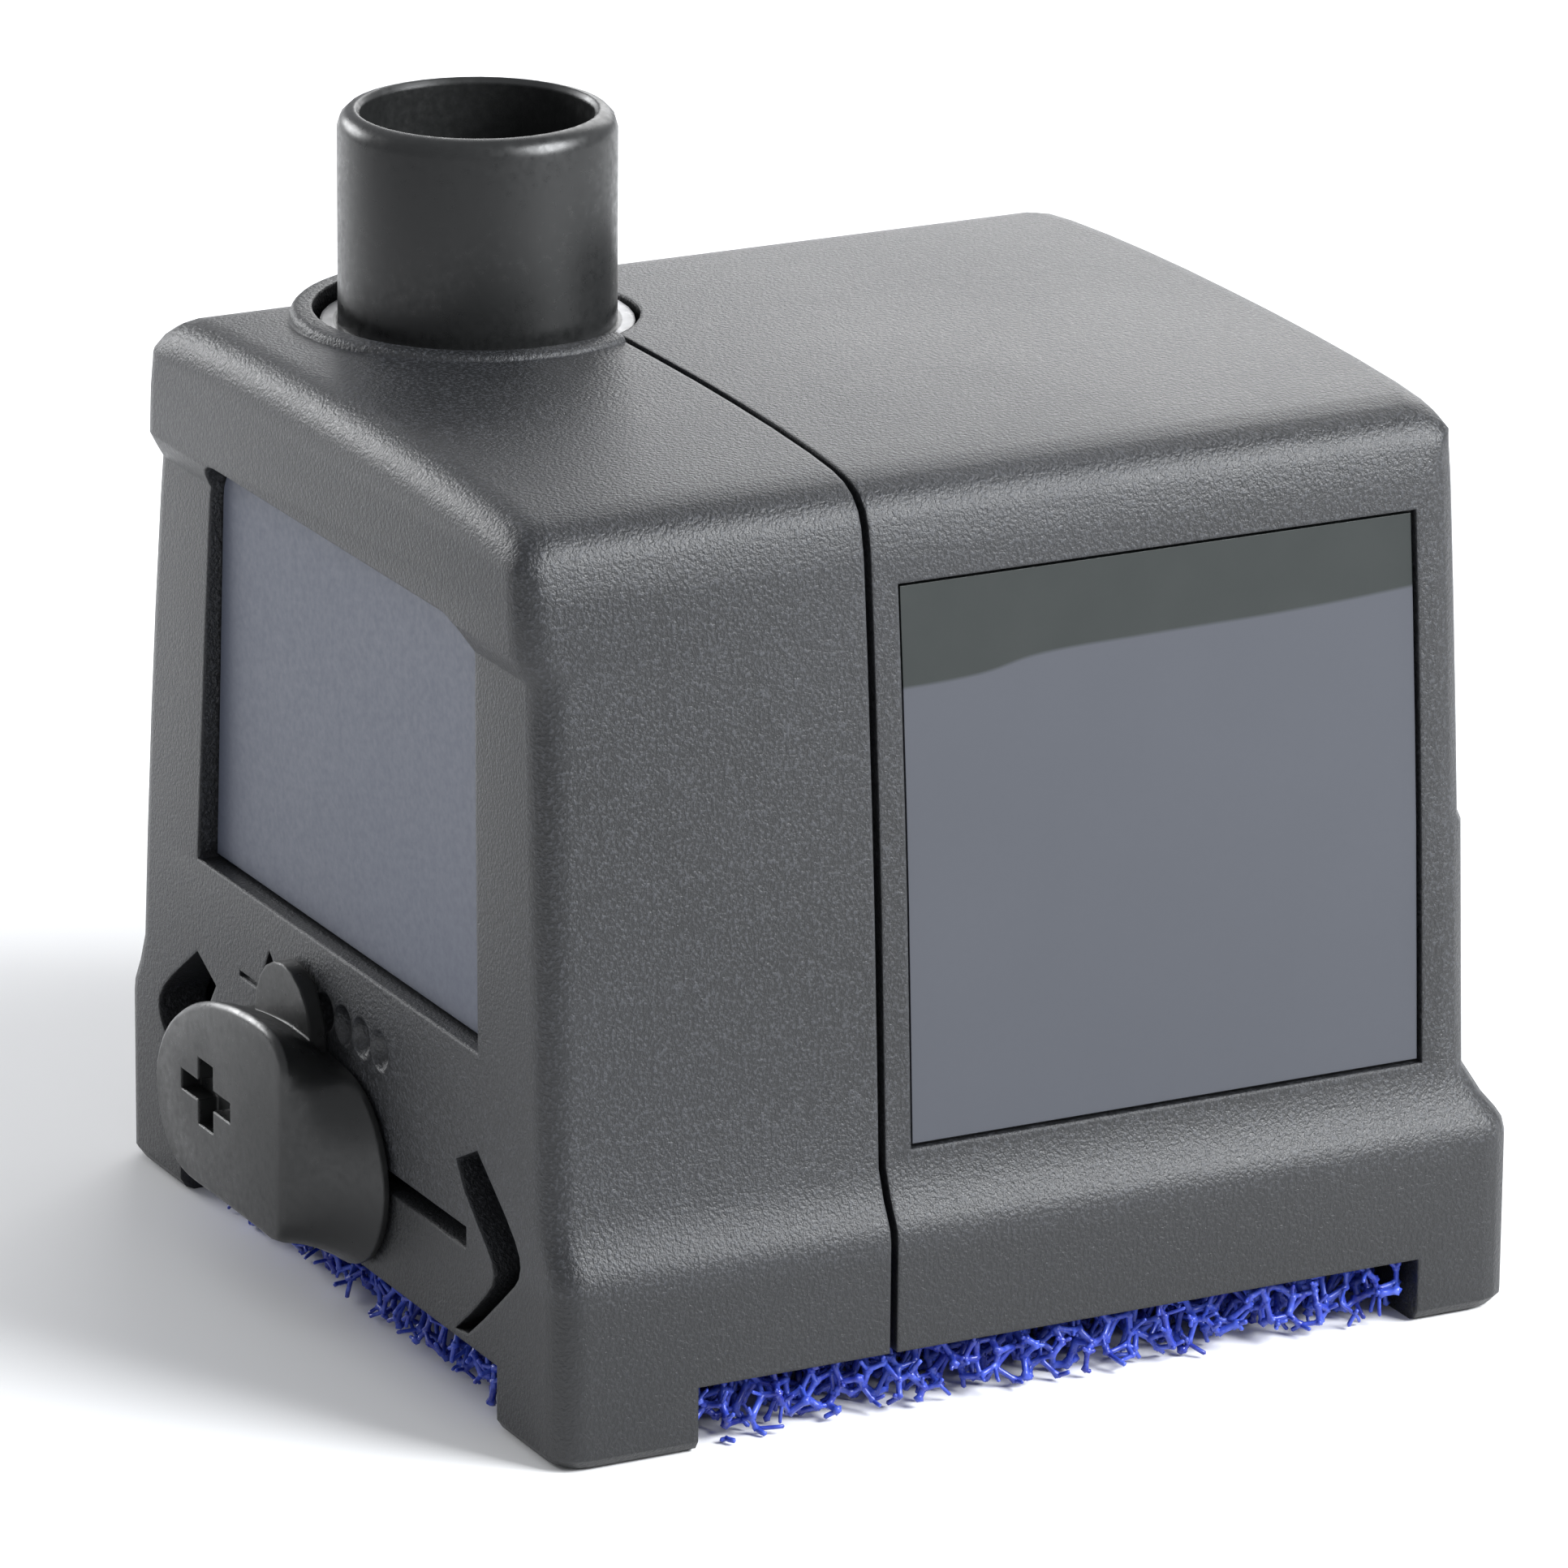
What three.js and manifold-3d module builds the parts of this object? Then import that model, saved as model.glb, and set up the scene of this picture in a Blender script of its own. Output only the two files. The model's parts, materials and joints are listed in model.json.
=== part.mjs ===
// Submersible fountain pump: pull-off pump head with a sliding intake
// regulator, potted motor block, permanent-magnet rotor, smooth hose spigot
// and a foam pad between the four corner feet.
// Millimetres, +Z up, -Y is the regulator face, +X is the label side.
import * as THREE from 'three';
import { mergeVertices } from 'three/addons/utils/BufferGeometryUtils.js';
import Module from 'manifold-3d';

const wasm = await Module();
wasm.setup();

// ---------------------------------------------------------------- dimensions
const Y_MID = 35.35;          // middle of the overall length, becomes y = 0

const Y_SPLIT_FRONT = 25.6;   // rear edge of the pump head shell
const Y_SPLIT_REAR = 26.2;    // front edge of the motor housing
const SKIRT_W = 37.35;        // half width over the skirt
const SKIRT_END = 77.2;       // rear face of the skirt
const FOOT_X = 27.3;          // inner side of the corner feet
const FOOT_Y = 10.4;          // rear side of the front feet
const FOOT_Y2 = 69.0;         // front side of the rear feet
const SKIRT_Z = 5.0;          // underside of the skirt between the feet

const FLOOR_LO = 12.0;        // underside of the motor compartment floor
const FLOOR_HI = 14.0;

const PIPE_X = -17.7, PIPE_Y = 19.6;   // hose spigot axis
const PIPE_R = 10.25, PIPE_BORE = 8.6, PIPE_TOP = 83.9;
const FLANGE_R = 11.55, FLANGE_LO = 66.5, FLANGE_HI = 67.95;
const COLLAR_R = 13.75, COLLAR_IN = 12.15, COLLAR_TOP = 69.0;

const AX_Z = 33.0;            // height of the rotor axis (x = 0)
const PLATE_Y0 = 31.5, PLATE_Y1 = 34.0;  // motor front plate
const WELL_IN = 7.7, WELL_OUT = 8.8;
const SHAFT_R = 1.5, RUN_R = 1.6;         // ceramic shaft, and every bore that runs on it

const KNOB_Y = -6.5;          // front face of the regulator slide
const SLOT_Z0 = 12.35, SLOT_Z1 = 13.8;   // guide slot of the slide
const KNOB_R = 7.3, KNOB_Z = 12.2;       // round ends of the slide's foot

// z, half width, front face, rear face of the outer shells
const LEVELS = [
  [0.0, 36.25, 0.60, 76.10],
  [0.28, 36.90, -0.05, 76.75],
  [0.95, SKIRT_W, -0.50, SKIRT_END],
  [13.3, SKIRT_W, -0.50, SKIRT_END],
  [14.25, 37.18, -0.50, 77.03],
  [14.95, 36.80, -0.50, 76.65],
  [16.1, 36.15, -0.50, 75.80],
  [18.3, 35.30, -0.48, 74.62],
  [26.7, 34.85, -0.40, 74.60],
  [36.6, 34.28, -0.24, 74.58],
  [37.3, 34.23, -0.22, 74.28],
  [44.4, 33.70, -0.10, 74.26],
  [53.3, 32.95, 0.10, 74.24],
  [56.4, 32.66, 0.20, 74.23],
  [57.3, 32.57, -0.35, 74.23],
  [58.4, 32.46, -0.95, 74.23],
  [62.0, 32.10, -1.00, 74.22],
  [64.2, 31.78, -0.95, 74.20],
  [70.0, 31.40, -0.80, 74.15],
];
// crowned top, right half, from the middle outwards
const CROWN = [
  [0, 68.60], [6, 68.58], [12, 68.47], [18, 68.27], [23.7, 67.96],
  [27.2, 67.62], [28.9, 67.25], [30.2, 66.62], [31.1, 65.7], [31.6, 64.6],
  [31.85, 63.4], [32.6, 61.0], [45, 58.0], [45, -6],
];

// ---------------------------------------------------------------- geometry kit
function toSolid(geometry) {
  const g = geometry.clone();
  g.deleteAttribute('normal');
  g.deleteAttribute('uv');
  const m = mergeVertices(g, 1e-5);
  return new wasm.Manifold(new wasm.Mesh({
    numProp: 3,
    vertProperties: new Float32Array(m.attributes.position.array),
    triVerts: new Uint32Array(m.index.array),
  }));
}
function toGeometry(solid) {
  const m = solid.getMesh();
  const g = new THREE.BufferGeometry();
  const n = m.vertProperties.length / m.numProp;
  const pos = new Float32Array(n * 3);
  for (let i = 0; i < n; i++) {
    for (let k = 0; k < 3; k++) pos[3 * i + k] = m.vertProperties[i * m.numProp + k];
  }
  g.setAttribute('position', new THREE.BufferAttribute(pos, 3));
  g.setIndex(new THREE.BufferAttribute(new Uint32Array(m.triVerts), 1));
  g.computeVertexNormals();
  return g;
}
// local (u, v, w) to the world: 'Y' puts u on x, v on z, w along y
const BASIS = {
  X: [[0, 1, 0], [0, 0, 1], [1, 0, 0]],
  Y: [[1, 0, 0], [0, 0, 1], [0, 1, 0]],
  Z: [[1, 0, 0], [0, 1, 0], [0, 0, 1]],
};
// stack of outlines with equal point counts, capped at both ends
function signedArea(p) {
  let area = 0;
  for (let i = 0; i < p.length; i++) {
    const [x0, y0] = p[i], [x1, y1] = p[(i + 1) % p.length];
    area += x0 * y1 - x1 * y0;
  }
  return area / 2;
}
function loft(axis, stack) {
  const B = BASIS[axis];
  const reverse = signedArea(stack[0].pts) < 0;
  const sections = stack.map(s => ({ w: s.w, pts: reverse ? s.pts.slice().reverse() : s.pts }));
  if (sections[0].w > sections[sections.length - 1].w) sections.reverse();
  const n = sections[0].pts.length;
  const pos = [], idx = [];
  for (const s of sections) {
    for (const [u, v] of s.pts) {
      for (let k = 0; k < 3; k++) pos.push(B[0][k] * u + B[1][k] * v + B[2][k] * s.w);
    }
  }
  for (let j = 0; j + 1 < sections.length; j++) {
    for (let i = 0; i < n; i++) {
      const a = j * n + i, b = j * n + (i + 1) % n, c = a + n, d = b + n;
      idx.push(a, b, d, a, d, c);
    }
  }
  const cap = (s, off, up) => {
    const c = s.pts.map(([u, v]) => new THREE.Vector2(u, v));
    for (const t of THREE.ShapeUtils.triangulateShape(c, [])) {
      const area = signedArea(t.map(i => s.pts[i]));
      const keep = (area > 0) === up;
      idx.push(off + t[0], off + (keep ? t[1] : t[2]), off + (keep ? t[2] : t[1]));
    }
  };
  cap(sections[0], 0, false);
  cap(sections[sections.length - 1], (sections.length - 1) * n, true);
  if (axis === 'Y') {
    for (let i = 0; i < idx.length; i += 3) {
      const t = idx[i + 1]; idx[i + 1] = idx[i + 2]; idx[i + 2] = t;
    }
  }
  const g = new THREE.BufferGeometry();
  g.setAttribute('position', new THREE.BufferAttribute(new Float32Array(pos), 3));
  g.setIndex(idx);
  g.computeVertexNormals();
  return g;
}
const prism = (axis, pts, w0, w1) =>
  loft(axis, [{ w: w0, pts }, { w: w1, pts }]);
const box = (x0, x1, y0, y1, z0, z1) =>
  new THREE.BoxGeometry(x1 - x0, y1 - y0, z1 - z0)
    .translate((x0 + x1) / 2, (y0 + y1) / 2, (z0 + z1) / 2);
function ring2(cx, cy, r, n, a0 = 0, a1 = 360) {
  const full = Math.abs(a1 - a0) >= 360;
  const out = [];
  for (let i = 0; i < (full ? n : n + 1); i++) {
    const a = THREE.MathUtils.degToRad(a0 + (a1 - a0) * i / n);
    out.push([cx + r * Math.cos(a), cy + r * Math.sin(a)]);
  }
  return out;
}
const cyl = (axis, u, v, r, w0, w1, n = 32) => prism(axis, ring2(u, v, r, n), w0, w1);
// closed [radius, along] outline turned about an axis parallel to y or z
function turned(axis, u, v, profile, n = 40) {
  const pts = profile.map(([r, w]) => new THREE.Vector2(r, w));
  pts.push(pts[0].clone());
  const g = new THREE.LatheGeometry(pts, n);
  if (axis === 'Z') g.rotateX(Math.PI / 2).translate(u, v, 0);
  else g.translate(u, 0, v);
  return g;
}
const join = (...gs) => gs.map(s => (s instanceof THREE.BufferGeometry ? toSolid(s) : s))
  .reduce((a, b) => a.add(b));
const cut = (a, ...gs) => gs.map(s => (s instanceof THREE.BufferGeometry ? toSolid(s) : s))
  .reduce((x, y) => x.subtract(y), a instanceof THREE.BufferGeometry ? toSolid(a) : a);
const both = (a, b) => (a instanceof THREE.BufferGeometry ? toSolid(a) : a)
  .intersect(b instanceof THREE.BufferGeometry ? toSolid(b) : b);

const group = new THREE.Group();
group.name = 'fountain_pump';
const MATERIALS = {
  shell: [0x2c2f33, 0.55, 0], smooth: [0x33363b, 0.35, 0], plate: [0x5d626d, 0.4, 0],
  foam: [0x3f55b8, 0.95, 0], rubber: [0x1b1c1e, 0.8, 0], inner: [0x3a3d42, 0.5, 0],
  resin: [0x20221f, 0.45, 0], steel: [0x8f9296, 0.35, 0.9], copper: [0xb4622c, 0.4, 0.8],
  bobbin: [0xd9d4c4, 0.6, 0], magnet: [0x2a2a2c, 0.5, 0.2], ceramic: [0xf0eee8, 0.25, 0],
  wheel: [0x23272b, 0.45, 0], label: [0x474b53, 0.45, 0], screw: [0xa4a7ab, 0.3, 0.9],
};
function part(name, shape, key) {
  const g = shape instanceof THREE.BufferGeometry ? shape : toGeometry(shape);
  g.translate(0, -Y_MID, 0);
  const [color, roughness, metalness] = MATERIALS[key];
  const mesh = new THREE.Mesh(g,
    new THREE.MeshStandardMaterial({ color, roughness, metalness }));
  mesh.name = name;
  group.add(mesh);
}

// ---------------------------------------------------------------- shell bodies
const cornerArc = (cx, cy, r, a0, a1, n = 4) => ring2(cx, cy, r, n, a0, a1);
function headPlan(w, yf) {
  const r = 2.3;
  return [[w, Y_SPLIT_FRONT], [-w, Y_SPLIT_FRONT],
    ...cornerArc(-w + r, yf + r, r, 180, 270),
    ...cornerArc(w - r, yf + r, r, 270, 360)];
}
function motorPlan(w, yb) {
  const r = 2.8;
  return [[-w, Y_SPLIT_REAR], [w, Y_SPLIT_REAR],
    ...cornerArc(w - r, yb - r, r, 0, 90),
    ...cornerArc(-w + r, yb - r, r, 90, 180)];
}
// crown cross-section lowered by d on its upward-facing part
function crownSection(d) {
  const half = CROWN.map(([x, z]) => {
    if (x > 40) return [x, z];
    const k = Math.max(0, Math.min(1, (z - 61.5) / 6));
    return [x, z - d * k];
  });
  return [...half, ...half.slice(1).reverse().map(([x, z]) => [-x, z])];
}
function crownCap(yFront, yRear, r, roundFront) {
  const steps = [0, 0.04, 0.16, 0.36, 0.64, 1].map(t => t * r);
  const drop = t => r - Math.sqrt(Math.max(0, r * r - (r - t) * (r - t)));
  const front = roundFront
    ? steps.map(t => ({ w: yFront + t, pts: crownSection(drop(t)) }))
    : [{ w: yFront, pts: crownSection(0) }];
  const rear = roundFront
    ? [{ w: yRear, pts: crownSection(0) }]
    : steps.slice().reverse().map(t => ({ w: yRear - t, pts: crownSection(drop(t)) }));
  return loft('Y', [...front, ...rear]);
}
// inner profile of both shells, from the open bottom to the crown
function innerProfile(zBottom, extra = 0) {
  const half = [[0, 66.3], [12, 66.2], [20, 65.85], [26, 65.3], [28.4, 64.5],
    [29.5, 63.1], [30.0, 60.0], [31.5, 44.4], [32.65, 26.7], [33.1, 18.3]];
  const low = [[34.4, 15.2], [35.1, 13.3], [35.1, SKIRT_Z]];
  let pts = half.map(p => [...p]);
  if (zBottom < 10) pts.push(...low.map(p => [...p]));
  else {
    const last = pts[pts.length - 1];
    if (zBottom < last[1]) pts.push([33.1, zBottom]);
  }
  pts = pts.map(([x, z]) => [Math.max(0, x - (x > 0 ? extra : 0)), z > 60 ? z - extra : z]);
  return [...pts, ...pts.slice(1).reverse().map(([x, z]) => [-x, z])];
}

// pump head shell -------------------------------------------------------------
{
  let s = both(
    loft('Z', LEVELS.map(([z, w, yf]) => ({ w: z, pts: headPlan(w, yf) }))),
    crownCap(-1.0, Y_SPLIT_FRONT + 2, 3.3, true));
  // collar standing around the spigot, cut off level with the parting line
  s = join(s, both(turned('Z', PIPE_X, PIPE_Y, [
    [0, 62.5], [COLLAR_R, 62.5], [COLLAR_R, COLLAR_TOP - 0.55], [COLLAR_R - 0.1, COLLAR_TOP - 0.28],
    [COLLAR_R - 0.3, COLLAR_TOP - 0.08], [COLLAR_R - 0.6, COLLAR_TOP], [0, COLLAR_TOP]], 56),
    box(-60, 20, -5, Y_SPLIT_FRONT, 60, 75)));
  // hollow inside, open to the rear and below
  s = cut(s, prism('Y', innerProfile(SKIRT_Z), 3.4, Y_SPLIT_FRONT + 5));
  s = cut(s, box(-FOOT_X, FOOT_X, -5, 40, -2, SKIRT_Z + 0.001));
  s = cut(s, box(-50, 50, FOOT_Y, 40, -2, SKIRT_Z + 0.001));
  // collar again on the inside so the hole keeps a rim, then the hole
  s = join(s, both(cyl('Z', PIPE_X, PIPE_Y, COLLAR_R, 64.2, 67.0, 44),
    box(-31, 20, 3, Y_SPLIT_FRONT, 60, 75)));
  s = cut(s, cyl('Z', PIPE_X, PIPE_Y, COLLAR_IN, 55, 80, 44));
  s = cut(s, prism('Z', [[PIPE_X - COLLAR_IN + 2.2, PIPE_Y], [PIPE_X + COLLAR_IN - 2.2, PIPE_Y],
    [PIPE_X + COLLAR_IN - 2.2, 40], [PIPE_X - COLLAR_IN + 2.2, 40]], 55, 80));
  // tongue that enters the motor housing behind the parting line
  const tongueOut = prism('Y', innerProfile(19.0, 0.3), Y_SPLIT_FRONT, 28.4);
  const tongueRoot = prism('Y', innerProfile(19.0, -0.4), 23.4, Y_SPLIT_FRONT);
  let tongue = cut(join(tongueOut, tongueRoot),
    prism('Y', innerProfile(10.5, 1.6), 20, 32));
  tongue = cut(tongue, cyl('Z', PIPE_X, PIPE_Y, 13.2, 50, 80, 40));
  s = join(s, tongue);
  // field for the badge plate
  s = cut(s, prism('Y', badgeOutline(0), -4, 2.1));
  // chevron intake ports left and right of the slide
  const port = m => prism('Y', [[24.0, 20.1], [26.5, 18.3], [28.7, 16.7], [30.2, 15.4], [30.95, 14.4],
    [31.1, 13.6], [30.8, 12.7], [30.2, 12.0], [28.2, 10.3], [25.2, 7.8], [22.6, 5.8], [20.4, 5.5],
    [23.0, 7.5], [25.5, 9.7], [26.5, 10.8], [26.8, 11.7], [26.5, 12.5], [25.7, 13.3], [23.9, 14.8],
    [21.9, 16.5], [20.6, 18.4]].map(([x, z]) => [m * x, z]), -4, 4);
  s = cut(s, port(1), port(-1));
  // guide slot with a chamfered lower lip, and the round click notches
  s = cut(s, box(-3.0, 22.3, -4, 4, SLOT_Z0, SLOT_Z1),
    prism('X', [[-0.9, SLOT_Z0 - 0.35], [0.2, SLOT_Z0 + 0.01], [-0.9, SLOT_Z0 + 0.01]], -3.0, 22.3));
  for (const x of [-4.6, -1.5, 1.6, 4.7, 7.8]) {
    s = cut(s, new THREE.SphereGeometry(1.62, 18, 12).rotateX(Math.PI / 2).translate(x, -1.05, 22.4));
  }
  // index arrow and line
  s = cut(s, prism('Y', [[-12.3, 22.0], [-9.4, 22.4], [-11.2, 24.1]], -2, 0.1));
  s = cut(s, box(-16.4, -12.3, -2, 0.0, 20.5, 20.95));
  // rails above and below the shutter, bosses for the chamber screws
  s = join(s, box(-30, 33.4, 3.2, 5.6, 20.8, 21.9), box(-26.5, 26.5, 3.2, 5.4, SKIRT_Z, 6.2));
  for (const [x, z] of SCREWS()) {
    s = join(s, cyl('Y', x, z, 3.2, 3.2, 9.7, 16));
    s = cut(s, cyl('Y', x, z, 1.5, 4.4, 12, 12));
  }
  part('front_cover', s, 'shell');
}
function badgeOutline(inset) {
  const i = inset, out = [];
  const top = 58.7 - i, bot = 27.3 + i, wt = 22.4 - i, wb = 24.0 - i;
  out.push([-wb, bot], [wb, bot]);
  out.push(...ring2(wt - 3, top - 3, 3, 5, 0, 90), ...ring2(-wt + 3, top - 3, 3, 5, 90, 180));
  return out;
}
function SCREWS() { return [[21.7, 26.2], [-21.7, 26.2], [14.5, 49.2]]; }

part('front_badge_plate', prism('Y', badgeOutline(0.3), 1.1, 1.8), 'plate');

// motor housing ---------------------------------------------------------------
{
  let s = both(
    loft('Z', LEVELS.map(([z, w, , yb]) => ({ w: z, pts: motorPlan(w, yb) }))),
    join(crownCap(Y_SPLIT_REAR - 2, 74.3, 3.0, false), box(-45, 45, 20, 90, -6, 40)));
  // motor compartment, open to the front
  s = cut(s, prism('Y', innerProfile(FLOOR_HI), 20, 71.8));
  // foam bay below the floor
  s = cut(s, box(-35.1, 35.1, 20, 75.0, SKIRT_Z, FLOOR_LO));
  s = cut(s, box(-50, 50, 20, FOOT_Y2, -2, SKIRT_Z + 0.001));
  s = cut(s, box(-FOOT_X, FOOT_X, 20, 90, -2, SKIRT_Z + 0.001));
  // round relief behind the hose spigot
  s = cut(s, cyl('Z', PIPE_X, PIPE_Y, 11.95, 55, 80, 44));
  // label field on the +X side
  s = cut(s, prism('Y', labelStrip(0.9, -3, 19.3, 60.4), 28.2, 70.1));
  // hole for the cable gland
  s = cut(s, cyl('Y', 18, 56, 4.6, 68, 80, 24));
  part('motor_housing', s, 'shell');
}
function sideX(z) {
  for (let i = 0; i + 1 < LEVELS.length; i++) {
    if (z <= LEVELS[i + 1][0]) {
      const t = (z - LEVELS[i][0]) / (LEVELS[i + 1][0] - LEVELS[i][0]);
      return LEVELS[i][1] + t * (LEVELS[i + 1][1] - LEVELS[i][1]);
    }
  }
  return 31;
}
// strip that follows the side wall between two depths below its surface
function labelStrip(dIn, dOut, z0, z1) {
  const zs = [z0, 26.7, 36.95, 44.4, 53.3, z1];
  return [...zs.map(z => [sideX(z) - dIn, z]),
    ...zs.slice().reverse().map(z => [sideX(z) - dOut, z])];
}
part('rating_label_blank', prism('Y', labelStrip(0.6, 0.3, 19.6, 60.1), 28.5, 69.8), 'label');

part('cable_gland', turned('Y', 18, 56, [
  [3.0, 72.5], [0.001, 72.5], [0.001, 72.1], [4.3, 72.1], [4.3, 74.6], [6.6, 74.6],
  [6.6, 75.4], [4.6, 75.8], [4.2, 77.1], [3.0, 77.1]], 24), 'rubber');

// hose spigot -----------------------------------------------------------------
part('outlet_hose_spigot', turned('Z', PIPE_X, PIPE_Y, [
  [PIPE_BORE, 56.6], [9.3, 56.6], [9.3, 58.6], [8.95, 58.6], [8.95, 60.6], [9.3, 60.6],
  [9.3, FLANGE_LO], [FLANGE_R, FLANGE_LO], [FLANGE_R, FLANGE_HI], [PIPE_R, FLANGE_HI],
  [PIPE_R, PIPE_TOP - 1.35], [PIPE_R - 0.22, PIPE_TOP - 0.62], [PIPE_R - 0.7, PIPE_TOP - 0.15],
  [PIPE_R - 1.3, PIPE_TOP], [PIPE_BORE + 0.3, PIPE_TOP],
  [PIPE_BORE, PIPE_TOP - 0.35]], 40), 'smooth');
part('spigot_seal_ring', turned('Z', PIPE_X, PIPE_Y, [
  [9.05, 58.8], [9.45, 58.8], [9.6, 59.2], [9.6, 60.0], [9.45, 60.4],
  [9.05, 60.4]], 24), 'rubber');

// pump chamber ----------------------------------------------------------------
{
  const y0 = 10.0, y1 = 31.2;
  let s = join(cyl('Y', 0, AX_Z, 18.4, y0, y1, 36),
    cyl('Z', PIPE_X, PIPE_Y, 11.35, AX_Z, 62.4, 32),
    box(PIPE_X - 8, 0, y0, y1 - 0.4, AX_Z, 50));
  for (const [x, z] of SCREWS()) {
    const dx = x, dz = z - AX_Z, L = Math.hypot(dx, dz), ux = dx / L, uz = dz / L;
    s = join(s, cyl('Y', x, z, 3.2, y0, y0 + 2.2, 16),
      prism('Y', [[x - uz * 3.2, z + ux * 3.2], [x - ux * 8 - uz * 3.2, z - uz * 8 + ux * 3.2],
        [x - ux * 8 + uz * 3.2, z - uz * 8 - ux * 3.2], [x + uz * 3.2, z - ux * 3.2]], y0, y0 + 2.2));
  }
  // impeller space, duct, socket for the spigot
  s = cut(s, cyl('Y', 0, AX_Z, 16.4, 12.2, 28.7, 36));
  s = cut(s, cyl('Z', PIPE_X, PIPE_Y, PIPE_BORE, AX_Z + 2, 70, 28));
  s = cut(s, cyl('Z', PIPE_X, PIPE_Y, 9.65, 56.2, 70, 28));
  s = cut(s, box(PIPE_X, -2, 12.2, 28.1, AX_Z + 2, 47.5));
  s = cut(s, cyl('Y', 0, AX_Z, 15.0, 28, 33, 36));
  // intake eye with a three-armed spider for the front bush
  s = cut(s, cyl('Y', 0, AX_Z, 8.2, 5, 12.5, 24));
  s = join(s, cyl('Y', 0, AX_Z, 5.2, y0, 14.2, 18));
  for (let i = 0; i < 3; i++) {
    const a = Math.PI / 2 + i * 2 * Math.PI / 3, c = Math.cos(a), d = Math.sin(a);
    const q = (r, t) => [r * c - t * d, AX_Z + r * d + t * c];
    s = join(s, prism('Y', [q(4, -1), q(9.2, -1), q(9.2, 1), q(4, 1)], y0, 12.2));
  }
  s = cut(s, cyl('Y', 0, AX_Z, 3.7, 11.0, 16, 16));
  for (const [x, z] of SCREWS()) s = cut(s, cyl('Y', x, z, 1.6, 5, 15, 12));
  part('volute_chamber', s, 'inner');
}
const SCREW_NAMES = ['chamber_screw_right', 'chamber_screw_left', 'chamber_screw_top'];
SCREWS().forEach(([x, z], i) => {
  const head = turned('Y', x, z, [[0, 5.0], [0.7, 5.6], [1.2, 6.4], [1.2, 12.5], [2.6, 12.5],
    [2.6, 13.9], [2.1, 14.4], [0, 14.4]], 16);
  const s = cut(head, box(x - 1.6, x + 1.6, 13.3, 16, z - 0.3, z + 0.3),
    box(x - 0.3, x + 0.3, 13.3, 16, z - 1.6, z + 1.6));
  part(SCREW_NAMES[i], s, 'screw');
});
part('shaft_bush_front', turned('Y', 0, AX_Z, [
  [RUN_R, 11.4], [3.1, 11.4], [3.4, 11.7], [3.4, 13.9], [RUN_R, 13.9]], 20), 'rubber');

// rotor -----------------------------------------------------------------------
part('rotor_shaft_ceramic', turned('Y', 0, AX_Z, [
  [0, 11.5], [1.2, 11.5], [SHAFT_R, 11.8], [SHAFT_R, 67.5], [1.2, 67.8], [0, 67.8]], 20), 'ceramic');
{
  let s = join(turned('Y', 0, AX_Z, [
    [RUN_R, 14.8], [4.2, 14.8], [5.2, 17.0], [5.2, 26.0], [12.6, 26.0], [12.6, 27.5], [5.2, 27.5],
    [5.2, 33.6], [3.7, 33.6], [3.7, 28.7], [RUN_R, 28.7]], 24));
  for (let i = 0; i < 6; i++) {
    const a = i * Math.PI / 3, c = Math.cos(a), d = Math.sin(a);
    const q = (r, t) => [r * c - t * d, AX_Z + r * d + t * c];
    s = join(s, prism('Y', [q(4.4, -0.7), q(13.3, -0.7), q(13.3, 0.7), q(4.4, 0.7)], 16.2, 26.4));
  }
  part('impeller_wheel', s, 'wheel');
}
part('rotor_sleeve', turned('Y', 0, AX_Z, [
  [RUN_R, 29.0], [3.4, 29.0], [3.4, 36.4], [6.0, 36.4], [6.0, 38.6], [3.4, 38.6], [3.4, 62.4],
  [6.0, 62.4], [6.0, 64.2], [RUN_R, 64.2]], 20), 'wheel');
part('rotor_magnet', turned('Y', 0, AX_Z, [
  [3.7, 38.9], [6.7, 38.9], [7.0, 39.2], [7.0, 61.8], [6.7, 62.1], [3.7, 62.1]], 24), 'magnet');

// motor front plate with the rotor well ----------------------------------------
{
  let s = join(prism('Y', innerProfile(FLOOR_HI + 0.3, 0.3), PLATE_Y0, PLATE_Y1),
    cyl('Y', 0, AX_Z, 14.5, 29.0, PLATE_Y1, 32),
    cyl('Y', 0, AX_Z, WELL_OUT, PLATE_Y1 - 1, 70.0, 28));
  s = cut(s, cyl('Y', 0, AX_Z, WELL_IN, 25, 68.5, 28));
  s = cut(s, turned('Y', 0, AX_Z, [[13.0, 29.7], [16, 29.7], [16, 31.1], [13.0, 31.1]], 32));
  part('rotor_well_plate', s, 'inner');
}
part('well_seal_ring', turned('Y', 0, AX_Z, [
  [13.3, 29.98], [14.45, 29.98], [14.7, 30.2], [14.7, 30.6], [14.45, 30.82], [13.3, 30.82]], 32), 'rubber');
part('shaft_bush_rear', turned('Y', 0, AX_Z, [
  [RUN_R, 65.2], [6.4, 65.2], [7.2, 66.0], [7.2, 68.2], [RUN_R, 68.2]], 24), 'rubber');

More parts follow.
